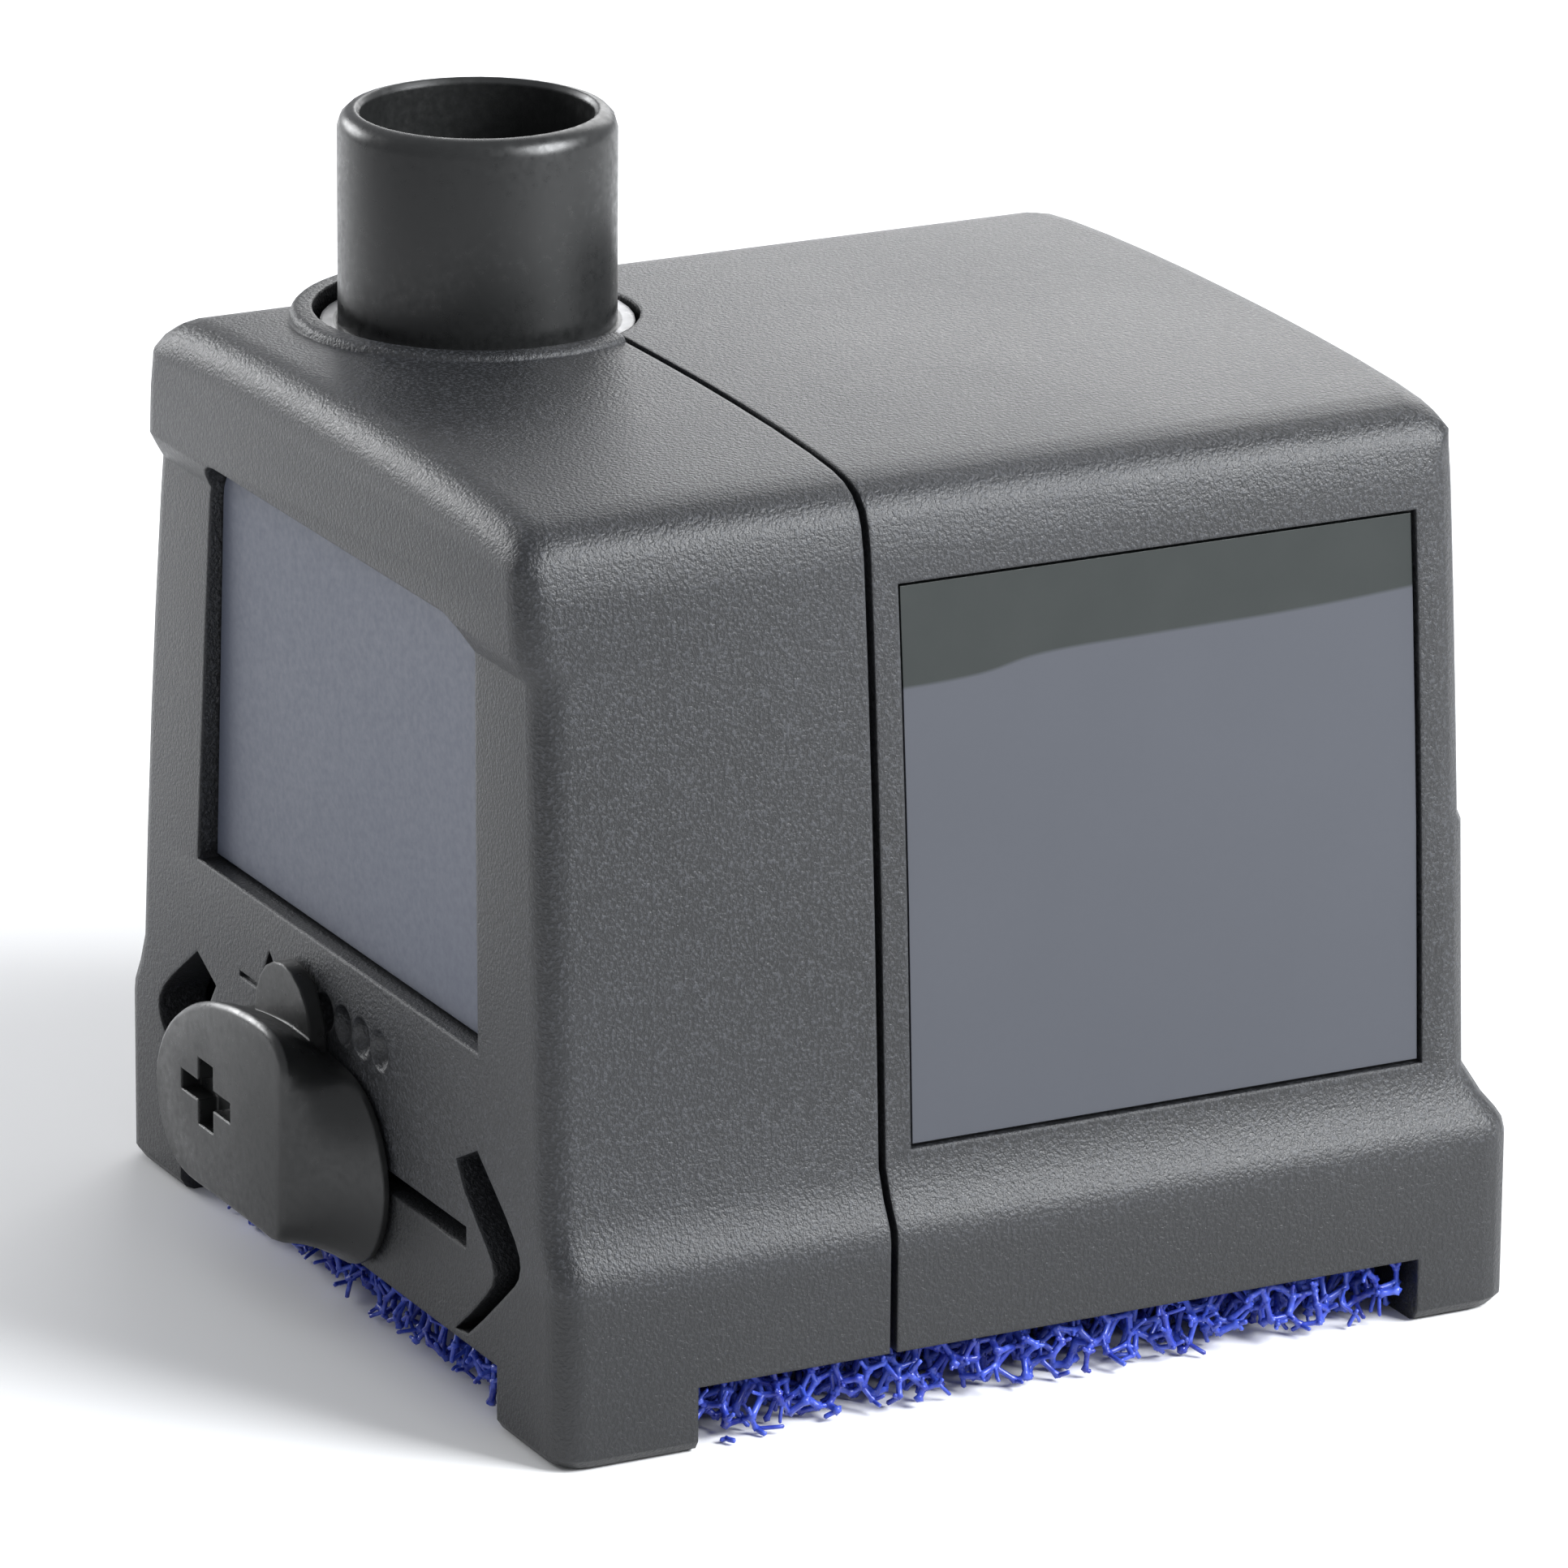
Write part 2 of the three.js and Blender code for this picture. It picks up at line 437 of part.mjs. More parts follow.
// stator ----------------------------------------------------------------------
const ST_Y0 = 41.5, ST_Y1 = 60.5, ARM0 = 7.5, ARM1 = 21.5;
const ARM_LO = 16.2, ARM_HI = 62.8, YOKE_LO = 54.2, COIL_LO = 43.2, COIL_HI = 53.9;
part('stator_core', cut(
  prism('Y', [[-ARM1, ARM_LO], [-ARM0, ARM_LO], [-ARM0, YOKE_LO], [ARM0, YOKE_LO],
    [ARM0, ARM_LO], [ARM1, ARM_LO], [ARM1, ARM_HI], [-ARM1, ARM_HI]], ST_Y0, ST_Y1),
  cyl('Y', 0, AX_Z, 9.2, 30, 70, 28)), 'steel');
for (const [side, m] of [['left', -1], ['right', 1]]) {
  const cx = m * (ARM0 + ARM1) / 2, hx = (ARM1 - ARM0) / 2, hy = (ST_Y1 - ST_Y0) / 2;
  const cy = (ST_Y0 + ST_Y1) / 2;
  const b = (dx, dy, z0, z1) => box(cx - hx - dx, cx + hx + dx, cy - hy - dy, cy + hy + dy, z0, z1);
  let s = join(b(1.2, 1.2, COIL_LO, COIL_HI), b(5.6, 5.6, COIL_LO, COIL_LO + 1),
    b(5.6, 5.6, COIL_HI - 1, COIL_HI));
  s = cut(s, b(0.3, 0.3, COIL_LO - 2, COIL_HI + 2));
  part('coil_bobbin_' + side, s, 'bobbin');
  part('coil_winding_' + side, cut(b(5.2, 5.2, COIL_LO + 1.3, COIL_HI - 1.3),
    b(1.5, 1.5, COIL_LO - 2, COIL_HI + 2)), 'copper');
}
{
  // cast resin that fills the compartment around core, coils and well
  let s = toSolid(prism('Y', innerProfile(FLOOR_HI + 0.3, 0.3), PLATE_Y1 + 0.3, 71.5));
  s = cut(s,
    box(-ARM1 - 0.3, -ARM0 + 0.3, 30, ST_Y1 + 0.3, ARM_LO - 0.3, YOKE_LO),
    box(ARM0 - 0.3, ARM1 + 0.3, 30, ST_Y1 + 0.3, ARM_LO - 0.3, YOKE_LO),
    box(-ARM1 - 0.3, ARM1 + 0.3, 30, ST_Y1 + 0.3, YOKE_LO - 0.4, ARM_HI + 0.3),
    box(-ARM1 - 5.9, ARM1 + 5.9, 30, ST_Y1 + 5.9, COIL_LO - 0.3, YOKE_LO + 0.0),
    cyl('Y', 0, AX_Z, 9.2, 30, 70.3, 28));
  part('potting_resin', s, 'resin');
}

// regulator -------------------------------------------------------------------
{
  // front face: flat on the right, round on the left
  const face = [[3.9, 6.9], [4.0, 12], [4.05, 18.5], [4.3, 20.2], [4.0, 21.4], [3.0, 22.4],
    [1.2, 22.85], [-2.4, 22.8], [-5.5, 22.45], [-8.7, 21.8], [-11.5, 20.85], [-14, 19.55],
    [-16.2, 17.9], [-17.9, 15.7], [-18.7, 13.2], [-18.2, 10.6], [-17.0, 8.6], [-15.2, 7.3],
    [-13, 6.9], [-5, 6.85]];
  // foot against the cover: long with two round ends
  const foot = [...ring2(2.9, KNOB_Z, KNOB_R, 24, -90, 90), [-4.3, KNOB_Z + KNOB_R + 0.5],
    ...ring2(-11.4, KNOB_Z, KNOB_R, 24, 90, 270)];
  const c = [-5.5, 13.2], RAYS = 72;
  const reach = (pts, a) => {
    const dx = Math.cos(a), dz = Math.sin(a);
    let best = 0;
    for (let i = 0; i < pts.length; i++) {
      const [x1, z1] = pts[i], [x2, z2] = pts[(i + 1) % pts.length];
      const ex = x2 - x1, ez = z2 - z1, det = ex * dz - ez * dx;
      if (Math.abs(det) < 1e-9) continue;
      const px = x1 - c[0], pz = z1 - c[1];
      const t = (ex * pz - ez * px) / det, k = (dx * pz - dz * px) / det;
      if (t > 0 && k >= -1e-9 && k <= 1 + 1e-9) best = Math.max(best, t);
    }
    return best;
  };
  const at = (mix, inset) => {
    const raw = [];
    for (let i = 0; i < RAYS; i++) {
      const a = 2 * Math.PI * i / RAYS;
      raw.push(reach(face, a) * (1 - mix) + reach(foot, a) * mix - inset);
    }
    return raw.map((r, i) => {
      const q = (raw[(i + RAYS - 1) % RAYS] + 2 * r + raw[(i + 1) % RAYS]) / 4;
      const a = 2 * Math.PI * i / RAYS;
      return [c[0] + q * Math.cos(a), c[1] + q * Math.sin(a)];
    });
  };
  let s = toSolid(loft('Y', [
    { w: KNOB_Y, pts: at(0, 0.55) }, { w: KNOB_Y + 0.15, pts: at(0, 0.2) },
    { w: KNOB_Y + 0.5, pts: at(0, 0) }, { w: -4.6, pts: at(0.16, 0) }, { w: -3.2, pts: at(0.42, 0) },
    { w: -2.0, pts: at(0.74, 0) }, { w: -1.3, pts: at(1, 0) }, { w: -0.8, pts: at(1, 0) }]));
  // pointer lobe running along the click notches
  s = join(s, prism('Y', [...ring2(-5.3, 20.3, 4.8, 10, 0, 180), [-10.1, 17], [-0.5, 17]], -2.1, -0.8));
  // tongue through the slot, cross-shaped driver recess
  s = join(s, box(-2.6, 3.4, -2, 5.1, SLOT_Z0 + 0.25, SLOT_Z1 - 0.25));
  s = cut(s, box(-13.6, -4.9, KNOB_Y - 1, KNOB_Y + 1.6, 13.6, 15.2),
    box(-10.6, -7.9, KNOB_Y - 1, KNOB_Y + 1.6, 11.8, 17.0));
  part('flow_slide_knob', s, 'smooth');
  part('flow_shutter_plate', cut(box(-19, 15.8, 3.75, 5.1, 6.55, 20.45),
    box(-2.9, 3.7, 2, 8, SLOT_Z0, SLOT_Z1)), 'inner');
}

// intake grille and foam --------------------------------------------------------
{
  let s = toSolid(box(-34.2, 34.2, 6.0, 25.3, 12.0, 13.3));
  for (let i = 0; i < 9; i++) {
    const x = -28 + 7 * i;
    s = cut(s, box(x - 1.6, x + 1.6, 8.2, 23.2, 10, 16));
  }
  part('intake_grille', s, 'inner');
}
{
  const plus = (w, ya, yb, ua, ub) => [
    [-FOOT_X + 0.4, ya], [FOOT_X - 0.4, ya], [FOOT_X - 0.4, ua], [w, ua], [w, ub],
    [FOOT_X - 0.4, ub], [FOOT_X - 0.4, yb], [-FOOT_X + 0.4, yb], [-FOOT_X + 0.4, ub],
    [-w, ub], [-w, ua], [-FOOT_X + 0.4, ua]];
  const s = join(prism('Z', plus(36.7, 0.4, 76.4, FOOT_Y + 0.4, FOOT_Y2 - 0.4), 0.3, SKIRT_Z - 0.3),
    prism('Z', plus(34.7, 5.8, 74.6, FOOT_Y + 0.4, FOOT_Y2 - 0.4), SKIRT_Z - 0.4, FLOOR_LO - 0.4));
  part('foam_filter_block', s, 'foam');
}

export default group;
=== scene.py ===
import json
import math
import bpy
import numpy as np
from mathutils import Matrix, Vector


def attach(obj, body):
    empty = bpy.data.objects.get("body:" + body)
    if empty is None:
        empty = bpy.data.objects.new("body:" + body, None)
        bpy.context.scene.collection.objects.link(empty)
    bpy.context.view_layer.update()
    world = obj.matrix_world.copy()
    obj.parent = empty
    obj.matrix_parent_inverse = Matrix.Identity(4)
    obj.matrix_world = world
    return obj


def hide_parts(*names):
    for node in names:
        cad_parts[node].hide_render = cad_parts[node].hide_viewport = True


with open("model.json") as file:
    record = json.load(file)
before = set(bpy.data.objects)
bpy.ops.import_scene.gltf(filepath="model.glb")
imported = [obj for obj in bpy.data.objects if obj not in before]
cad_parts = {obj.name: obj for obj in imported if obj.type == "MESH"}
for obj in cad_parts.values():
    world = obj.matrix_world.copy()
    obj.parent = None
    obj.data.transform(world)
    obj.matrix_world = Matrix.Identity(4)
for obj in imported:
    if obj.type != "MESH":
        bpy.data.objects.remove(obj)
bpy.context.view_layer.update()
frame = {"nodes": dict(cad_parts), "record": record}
N = frame["nodes"]
MM = 0.001
Y_MID = 35.35            # CAD y of the middle, in mm, taken off every y below
scene = bpy.context.scene

# ------------------------------------------------------------------ camera
AZ, EL, ROLL = math.radians(62.70), math.radians(18.18), math.radians(-0.494)
TARGET = Vector((-2.012, 1.717, 34.269)) * MM
back = Vector((math.sin(AZ) * math.cos(EL), -math.cos(AZ) * math.cos(EL), math.sin(EL)))
right0 = Vector((math.cos(AZ), math.sin(AZ), 0))
up0 = back.cross(right0)
right = right0 * math.cos(ROLL) - up0 * math.sin(ROLL)
up = right0 * math.sin(ROLL) + up0 * math.cos(ROLL)
pos = TARGET + back * 0.8073
cam_data = bpy.data.cameras.new("Camera")
cam_data.lens = 251.77
cam_data.sensor_width = 36
cam_data.sensor_height = 36
cam_data.clip_start = 0.01
cam_data.clip_end = 20
cam = bpy.data.objects.new("Camera", cam_data)
scene.collection.objects.link(cam)
m = Matrix((right, up, back)).transposed().to_4x4()
m.translation = pos
cam.matrix_world = m
scene.camera = cam


# ------------------------------------------------------------------ materials
class Tree:
    """Small helper that adds nodes to one material."""

    def __init__(self, name):
        self.mat = bpy.data.materials.new(name)
        self.mat.use_nodes = True
        self.t = self.mat.node_tree
        self.b = self.t.nodes["Principled BSDF"]
        self.coord = self.t.nodes.new("ShaderNodeTexCoord").outputs["Object"]

    def node(self, kind, **props):
        n = self.t.nodes.new(kind)
        for k, v in props.items():
            setattr(n, k, v)
        return n

    def link(self, a, b):
        self.t.links.new(a, b)

    def noise(self, scale, detail=2.0, rough=0.5, stretch=None, dist=0.0):
        n = self.node("ShaderNodeTexNoise")
        n.inputs["Scale"].default_value = scale
        n.inputs["Detail"].default_value = detail
        n.inputs["Roughness"].default_value = rough
        n.inputs["Distortion"].default_value = dist
        src = self.coord
        if stretch:
            mp = self.node("ShaderNodeMapping")
            mp.inputs["Scale"].default_value = stretch
            self.link(src, mp.inputs["Vector"])
            src = mp.outputs["Vector"]
        self.link(src, n.inputs["Vector"])
        return n.outputs["Fac"]

    def voronoi(self, scale, feature="F1"):
        n = self.node("ShaderNodeTexVoronoi", feature=feature)
        n.inputs["Scale"].default_value = scale
        self.link(self.coord, n.inputs["Vector"])
        return n.outputs["Distance"]

    def ramp(self, fac, stops):
        n = self.node("ShaderNodeValToRGB")
        e = n.color_ramp.elements
        while len(e) < len(stops):
            e.new(0.5)
        for el, (p, c) in zip(e, stops):
            el.position = p
            el.color = (c, c, c, 1) if isinstance(c, (int, float)) else (*c, 1)
        self.link(fac, n.inputs["Fac"])
        return n.outputs["Color"]

    def remap(self, v, a, b, c, d):
        n = self.node("ShaderNodeMapRange")
        for i, x in zip(("From Min", "From Max", "To Min", "To Max"), (a, b, c, d)):
            n.inputs[i].default_value = x
        self.link(v, n.inputs["Value"])
        return n.outputs["Result"]

    def math(self, op, a, b=None):
        n = self.node("ShaderNodeMath", operation=op)
        for i, x in enumerate((a, b)):
            if x is None:
                continue
            if isinstance(x, (int, float)):
                n.inputs[i].default_value = x
            else:
                self.link(x, n.inputs[i])
        return n.outputs[0]

    def mix(self, fac, a, b):
        n = self.node("ShaderNodeMix", data_type="RGBA")
        for i, x in ((0, fac), (6, a), (7, b)):
            if isinstance(x, (int, float)):
                n.inputs[i].default_value = x
            elif isinstance(x, tuple):
                n.inputs[i].default_value = (*x, 1)
            else:
                self.link(x, n.inputs[i])
        return n.outputs[2]

    def bump(self, height, strength, distance, normal=None):
        n = self.node("ShaderNodeBump")
        n.inputs["Strength"].default_value = strength
        n.inputs["Distance"].default_value = distance
        self.link(height, n.inputs["Height"])
        if normal is not None:
            self.link(normal, n.inputs["Normal"])
        return n.outputs["Normal"]

    def bevel(self, radius):
        n = self.node("ShaderNodeBevel", samples=4)
        n.inputs["Radius"].default_value = radius
        return n.outputs["Normal"]

    def edge_highlight_mask(self, radius, lo=0.02, hi=0.25):
        """1 on outer edges, 0 on flats, from the rounded against the true normal; it masks the
        painted edge highlight.
        """
        g = self.node("ShaderNodeNewGeometry")
        d = self.node("ShaderNodeVectorMath", operation="DOT_PRODUCT")
        self.link(self.bevel(radius), d.inputs[0])
        self.link(g.outputs["Normal"], d.inputs[1])
        return self.remap(d.outputs["Value"], 1 - lo, 1 - hi, 0.0, 1.0)

    def xyz(self):
        n = self.node("ShaderNodeSeparateXYZ")
        self.link(self.coord, n.inputs[0])
        return n.outputs

    def set(self, name, v):
        s = self.b.inputs[name]
        if isinstance(v, (int, float)):
            s.default_value = v
        elif isinstance(v, tuple):
            s.default_value = (*v, 1)
        else:
            self.link(v, s)
        return self


def plastic(name, dark, light, rough, grain=3200.0, grain_bump=0.5, bevel=0.35 * MM,
            edge=0.5, edge_highlight_color=None, spec=0.5, painted_sparkle=0.0, depth=0.00006, extra=None):
    """Moulded plastic: fine grain, slow colour drift, soft edges lightened as a painted
    highlight.
    """
    t = Tree(name)
    fine = t.noise(grain, 3.0, 0.6)
    slow = t.noise(38.0, 3.0, 0.5)
    col = t.mix(t.remap(slow, 0.3, 0.7, 0.0, 1.0), dark, light)
    # painted glints: bright specks mixed into the colour stand in for the grain's sparkle
    if painted_sparkle:
        glint_specks = t.remap(fine, 0.50, 0.66, 0.0, painted_sparkle)
        col = t.mix(glint_specks, col, tuple(min(1, c * 5.0) for c in light))
    # painted highlight: the outer edges are lightened, with grainy noise, along the bevel mask
    if edge:
        edge_highlight = t.math("MULTIPLY", t.edge_highlight_mask(bevel * 1.6),
                    t.remap(t.noise(900.0, 3.0, 0.6), 0.35, 0.7, edge * 0.3, edge))
        col = t.mix(edge_highlight, col, edge_highlight_color or tuple(min(1, c * 3.0) for c in light))
    if extra:
        col = extra(t, col)
    t.set("Base Color", col)
    r = t.math("ADD", t.remap(fine, 0.3, 0.7, rough - 0.07, rough + 0.09),
               t.remap(slow, 0.3, 0.7, -0.03, 0.03))
    t.set("Roughness", r)
    t.set("Specular IOR Level", spec)
    t.set("Normal", t.bump(fine, grain_bump, depth, t.bevel(bevel)))
    return t.mat


def label_top_reflection(t, col):
    """Painted dark reflection along the label's upper edge, its lower edge slightly bowed."""
    x, y, z = t.xyz()
    n = t.node("ShaderNodeFloatCurve")
    c = n.mapping.curves[0]
    # position along the label 28..70 mm -> band edge 52..56 mm
    pts = [(28.5, 52.8), (34.0, 53.0), (40.0, 53.9), (48.0, 54.1), (60.0, 54.3), (70.0, 54.8)]
    pts = [((a - 28.0) / 42.0, (b - 52.0) / 4.0) for a, b in pts]
    c.points[0].location = (0, pts[0][1])
    c.points[1].location = (1, pts[-1][1])
    for a, b in pts[1:-1]:
        c.points.new(a, b)
    n.mapping.update()
    along = t.remap(y, (28.0 - Y_MID) * MM, (70.0 - Y_MID) * MM, 0.0, 1.0)
    t.link(along, n.inputs["Value"])
    edge = t.math("ADD", t.math("MULTIPLY", n.outputs["Value"], 0.004), 0.052)
    over = t.math("SUBTRACT", z, edge)
    # the two dark tones above the bowed edge are the painted reflection
    return t.mix(t.remap(over, -0.00015, 0.00015, 0.0, 1.0), col,
                 t.mix(t.remap(t.noise(220.0, 3.0, 0.5), 0.3, 0.7, 0, 1),
                       (0.004, 0.008, 0.007), (0.007, 0.011, 0.010)))


SHELL_D, SHELL_L = (0.010, 0.0105, 0.0115), (0.016, 0.0168, 0.019)


def skirt_dark_reflection(t, col):
    """Painted dark reflection: below the shelf the skirt's colour is pulled towards the dark
    shell tone.
    """
    x, y, z = t.xyz()
    reflection_mask = t.remap(z, 0.0120, 0.0134, 1.0, 0.0)
    return t.mix(t.math("MULTIPLY", reflection_mask, 0.7), col, SHELL_D)


def flange_ring(t, col):
    """The flange at the spigot's foot is given a light grey colour."""
    x, y, z = t.xyz()
    dx = t.math("SUBTRACT", x, -17.7 * MM)
    dy = t.math("SUBTRACT", y, (19.6 - Y_MID) * MM)
    r = t.math("SQRT", t.math("ADD", t.math("MULTIPLY", dx, dx), t.math("MULTIPLY", dy, dy)))
    far = t.remap(r, 10.55 * MM, 10.65 * MM, 0.0, 1.0)
    high = t.remap(z, 66.3 * MM, 66.4 * MM, 0.0, 1.0)
    return t.mix(t.math("MULTIPLY", far, high), col, (0.30, 0.30, 0.31))


M = {
    "shell": plastic("textured_shell", SHELL_D, SHELL_L, 0.38, 3700.0, 1.0, 0.40 * MM, 0.6,
                     painted_sparkle=0.40, depth=0.00011, extra=skirt_dark_reflection),
    "smooth": plastic("smooth_shell", (0.0095, 0.010, 0.010), (0.0125, 0.013, 0.013), 0.33,
                      1500.0, 0.10, 0.30 * MM, 0.3, extra=flange_ring),
    "plate": plastic("bare_plate", (0.074, 0.083, 0.114), (0.080, 0.090, 0.122), 0.45, 1800.0,
                     0.04, 0.12 * MM, 0.1),
    "label": plastic("blank_label", (0.044, 0.048, 0.060), (0.049, 0.053, 0.066), 0.40, 1800.0,
                     0.05, 0.08 * MM, 0.15, extra=label_top_reflection),
    "rubber": plastic("soft_rubber", (0.010, 0.010, 0.011), (0.018, 0.018, 0.019), 0.62, 1400.0,
                      0.4, 0.2 * MM, 0.15),
    "inner": plastic("inner_plastic", (0.026, 0.028, 0.031), (0.040, 0.043, 0.047), 0.42, 1500.0,
                     0.25, 0.25 * MM, 0.4),
    "wheel": plastic("wheel_plastic", (0.012, 0.014, 0.017), (0.020, 0.023, 0.027), 0.36, 1500.0,
                     0.2, 0.2 * MM, 0.4),
    "resin": plastic("cast_resin", (0.012, 0.013, 0.011), (0.020, 0.021, 0.018), 0.25, 400.0,
                     0.3, 0.3 * MM, 0.1),
    "bobbin": plastic("bobbin_nylon", (0.52, 0.48, 0.38), (0.62, 0.58, 0.47), 0.45, 900.0, 0.2,
                      0.25 * MM, 0.3),
    "ceramic": plastic("shaft_ceramic", (0.78, 0.77, 0.72), (0.86, 0.85, 0.81), 0.15, 2500.0,
                       0.05, 0.15 * MM, 0.1),
    "magnet": plastic("ferrite", (0.030, 0.030, 0.032), (0.055, 0.055, 0.058), 0.5, 1800.0, 0.5,
                      0.3 * MM, 0.5),
}


def metal(name, dark, light, rough, lines):
    """Metal with fine parallel lines along one axis: laminations, wire or turned marks."""
    t = Tree(name)
    w = t.node("ShaderNodeTexWave", wave_type="BANDS", bands_direction=lines[0])
    w.inputs["Scale"].default_value = lines[1]
    w.inputs["Distortion"].default_value = 0.4
    w.inputs["Detail"].default_value = 2.0
    w.inputs["Detail Scale"].default_value = 2.0
    t.link(t.coord, w.inputs["Vector"])
    slow = t.noise(120.0, 4.0, 0.6)
    col = t.mix(t.remap(slow, 0.3, 0.7, 0, 1), dark, light)
    col = t.mix(t.math("MULTIPLY", t.remap(w.outputs["Fac"], 0.0, 0.4, 1.0, 0.0), 0.5), col,
                tuple(c * 0.45 for c in dark))
    # painted highlight: the edges are lightened along the bevel mask
    edge_highlight = t.math("MULTIPLY", t.edge_highlight_mask(0.3 * MM), 0.5)
    col = t.mix(edge_highlight, col, tuple(min(1, c * 1.5) for c in light))
    t.set("Base Color", col)
    t.set("Metallic", 1.0)
    t.set("Roughness", t.remap(slow, 0.3, 0.7, rough - 0.06, rough + 0.1))
    t.set("Normal", t.bump(w.outputs["Fac"], 0.35, 0.00005, t.bevel(0.2 * MM)))
    return t.mat


M["steel"] = metal("laminated_steel", (0.30, 0.31, 0.32), (0.46, 0.47, 0.48), 0.38, ("Y", 320.0))
M["copper"] = metal("copper_wire", (0.48, 0.16, 0.05), (0.72, 0.28, 0.11), 0.30, ("Z", 560.0))
M["screw"] = metal("stainless", (0.42, 0.43, 0.44), (0.62, 0.63, 0.64), 0.24, ("Y", 900.0))

# ------------------------------------------------------------------ CAD nodes
SLOT_OF = {s["node"]: s["material_slot"] for s in frame["record"]["subparts"]}
SHARP = {"outlet_hose_spigot": 40, "flow_slide_knob": 40}


def smooth_group(limit):
    """Welds the tessellation and shades it smooth up to an angle."""
    name = f"smooth_{limit}"
    if name in bpy.data.node_groups:
        return bpy.data.node_groups[name]
    g = bpy.data.node_groups.new(name, "GeometryNodeTree")
    g.interface.new_socket("Geometry", in_out="INPUT", socket_type="NodeSocketGeometry")
    g.interface.new_socket("Geometry", in_out="OUTPUT", socket_type="NodeSocketGeometry")
    i, o = g.nodes.new("NodeGroupInput"), g.nodes.new("NodeGroupOutput")
    weld = g.nodes.new("GeometryNodeMergeByDistance")
    weld.inputs["Distance"].default_value = 2e-6
    face = g.nodes.new("GeometryNodeSetShadeSmooth")
    face.domain = "FACE"
    edge = g.nodes.new("GeometryNodeSetShadeSmooth")
    edge.domain = "EDGE"
    ang = g.nodes.new("GeometryNodeInputMeshEdgeAngle")
    cmp = g.nodes.new("ShaderNodeMath")
    cmp.operation = "LESS_THAN"
    cmp.inputs[1].default_value = math.radians(limit)
    g.links.new(i.outputs[0], weld.inputs["Geometry"])
    g.links.new(weld.outputs[0], face.inputs["Geometry"])
    g.links.new(face.outputs[0], edge.inputs["Geometry"])
    g.links.new(ang.outputs["Unsigned Angle"], cmp.inputs[0])
    g.links.new(cmp.outputs[0], edge.inputs["Shade Smooth"])
    g.links.new(edge.outputs[0], o.inputs[0])
    return g


for name, obj in N.items():
    me = obj.data
    me.materials.clear()
    me.materials.append(M.get(SLOT_OF[name], M["inner"]))
    if "custom_normal" in me.attributes:
        me.attributes.remove(me.attributes["custom_normal"])
    mod = obj.modifiers.new("soft_shading", "NODES")
    mod.node_group = smooth_group(SHARP.get(name, 32))

# ------------------------------------------------------------------ foam
rng = np.random.RandomState(11)
FOOT_X, FOOT_Y0, FOOT_Y1 = 26.9, 10.8, 68.6


def in_foam(p, out=0.0):
    """Inside the lower slab of the pad: p in mm, CAD y."""
    x, y, z = np.abs(p[:, 0]), p[:, 1], p[:, 2]
    mid = (x < FOOT_X) & (y > 0.6 - out) & (y < 76.2 + out)
    side = (x < 36.5 + out) & (y > FOOT_Y0) & (y < FOOT_Y1)
    return (mid | side) & (z > 0.35) & (z < 4.75)


def edge_depth(p):
    """Distance in mm from the nearest open side of the pad."""
    x, y = np.abs(p[:, 0]), p[:, 1]
    d_side = np.where((y > FOOT_Y0) & (y < FOOT_Y1), 36.5 - x, 99)
    d_front = np.where(x < FOOT_X, y - 0.6, 99)
    d_back = np.where(x < FOOT_X, 76.2 - y, 99)
    return np.minimum(np.minimum(d_side, d_front), d_back)


def kelvin(a, stretch):
    """Vertices and edges of a packing of fourteen-sided cells, turned and warped."""
    lo, hi = np.array([-44.0, -6.0, -4.0]), np.array([44.0, 84.0, 9.0])
    perms = set()
    for p in ((0, 1, 2), (0, 2, 1), (1, 0, 2), (1, 2, 0), (2, 0, 1), (2, 1, 0)):
        for s1 in (-1, 1):
            for s2 in (-1, 1):
                v = [0, 0, 0]
                v[p.index(1)] = s1
                v[p.index(2)] = 2 * s2
                perms.add(tuple(v))
    perms = np.array(sorted(perms))
    pairs = [(i, j) for i in range(24) for j in range(i + 1, 24)
             if ((perms[i] - perms[j]) ** 2).sum() == 2]
    n = int(70 / a)
    g = np.arange(-n, n + 1)
    G = np.stack(np.meshgrid(g, g, g, indexing="ij"), -1).reshape(-1, 3) * 4
    C = np.concatenate([G, G + 2])
    rot = (Matrix.Rotation(0.52, 3, "Z") @ Matrix.Rotation(0.37, 3, "X")
           @ Matrix.Rotation(0.21, 3, "Y"))
    R = np.array(rot)
    mid = (lo + hi) / 2
    world = (C * a / 4) @ R.T * stretch + mid
    C = C[np.all((world > lo) & (world < hi), 1)]
    V = (C[:, None, :] + perms[None]).reshape(-1, 3)
    key = (V[:, 0] + 4096) * 2 ** 26 + (V[:, 1] + 4096) * 2 ** 13 + (V[:, 2] + 4096)
    uniq, first, inv = np.unique(key, return_index=True, return_inverse=True)
    inv = inv.reshape(-1, 24)
    P = (V[first] * a / 4) @ R.T * stretch + mid
    E = np.concatenate([inv[:, [i, j]] for i, j in pairs])
    E = np.unique(np.sort(E, 1), axis=0)
    P = P + rng.uniform(-1, 1, P.shape) * 0.36
    for k in range(3):                       # slow warp, so that cells differ in size
        ph = rng.uniform(0, 6.28, 4)
        P[:, k] += 0.42 * np.sin(P[:, (k + 1) % 3] * 0.9 + ph[0]) * np.cos(
            P[:, (k + 2) % 3] * 0.75 + ph[1]) + 0.22 * np.sin(P[:, (k + 1) % 3] * 1.9 + ph[2])
    return P, E


